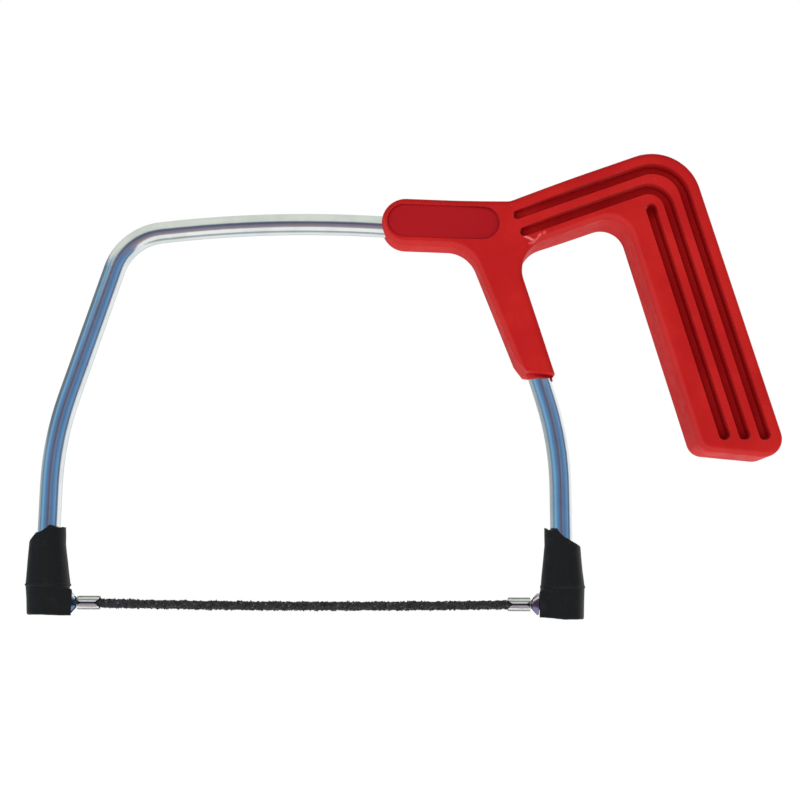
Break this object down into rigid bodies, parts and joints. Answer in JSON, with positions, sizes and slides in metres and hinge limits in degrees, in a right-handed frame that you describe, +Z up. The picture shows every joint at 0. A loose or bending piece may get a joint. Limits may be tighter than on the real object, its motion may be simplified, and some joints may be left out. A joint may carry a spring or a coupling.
{
  "type": "hacksaw",
  "caption": "Small bow saw with a round carbide-grit rod blade, sprung steel bow, rubber end boots and a two-shell plastic pistol grip; cuts tile, pipe and curves.",
  "frame": {"origin": "middle of the overall length, on the mid-plane of the thickness, at the lowest point of the boots", "axes": "+X along the blade from the front boot to the handle, +Y through the thickness from the label side to the screw side, +Z up from the blade to the crown of the bow"},
  "size_m": [0.2406, 0.0178, 0.151],
  "materials": {
    "zinc_steel": "bright zinc, blue and violet passivated",
    "red_plastic": "semi-gloss moulded",
    "black_rubber": "satin",
    "blade_steel": "plain steel",
    "carbide_grit": "coarse brazed grit",
    "ferrule_steel": "bright rolled sheet",
    "screw_steel": "zinc plated"
  },
  "bodies": {
    "frame": {"frame_rod": "zinc_steel", "handle_front_shell": "red_plastic", "handle_rear_shell": "red_plastic", "bar_screw": "screw_steel", "corner_screw": "screw_steel", "grip_end_screw": "screw_steel", "grip_screw": "screw_steel"},
    "front_boot": {"front_boot": "black_rubber"},
    "rear_boot": {"rear_boot": "black_rubber"},
    "blade": {"blade_wire": "blade_steel", "grit_coating": "carbide_grit", "front_ferrule": "ferrule_steel", "rear_ferrule": "ferrule_steel", "front_anchor_pin": "blade_steel", "rear_anchor_pin": "blade_steel"}
  },
  "joints": [
    {"name": "front_boot_slide", "type": "slide", "parent": "frame", "child": "front_boot", "axis": [0, 0, 1], "range_m": [0, 0.012]},
    {"name": "rear_boot_slide", "type": "slide", "parent": "frame", "child": "rear_boot", "axis": [0, 0, 1], "range_m": [0, 0.012]},
    {"name": "blade_release", "type": "slide", "parent": "frame", "child": "blade", "axis": [0, 0, -1], "range_m": [0, 0.02]}
  ]
}
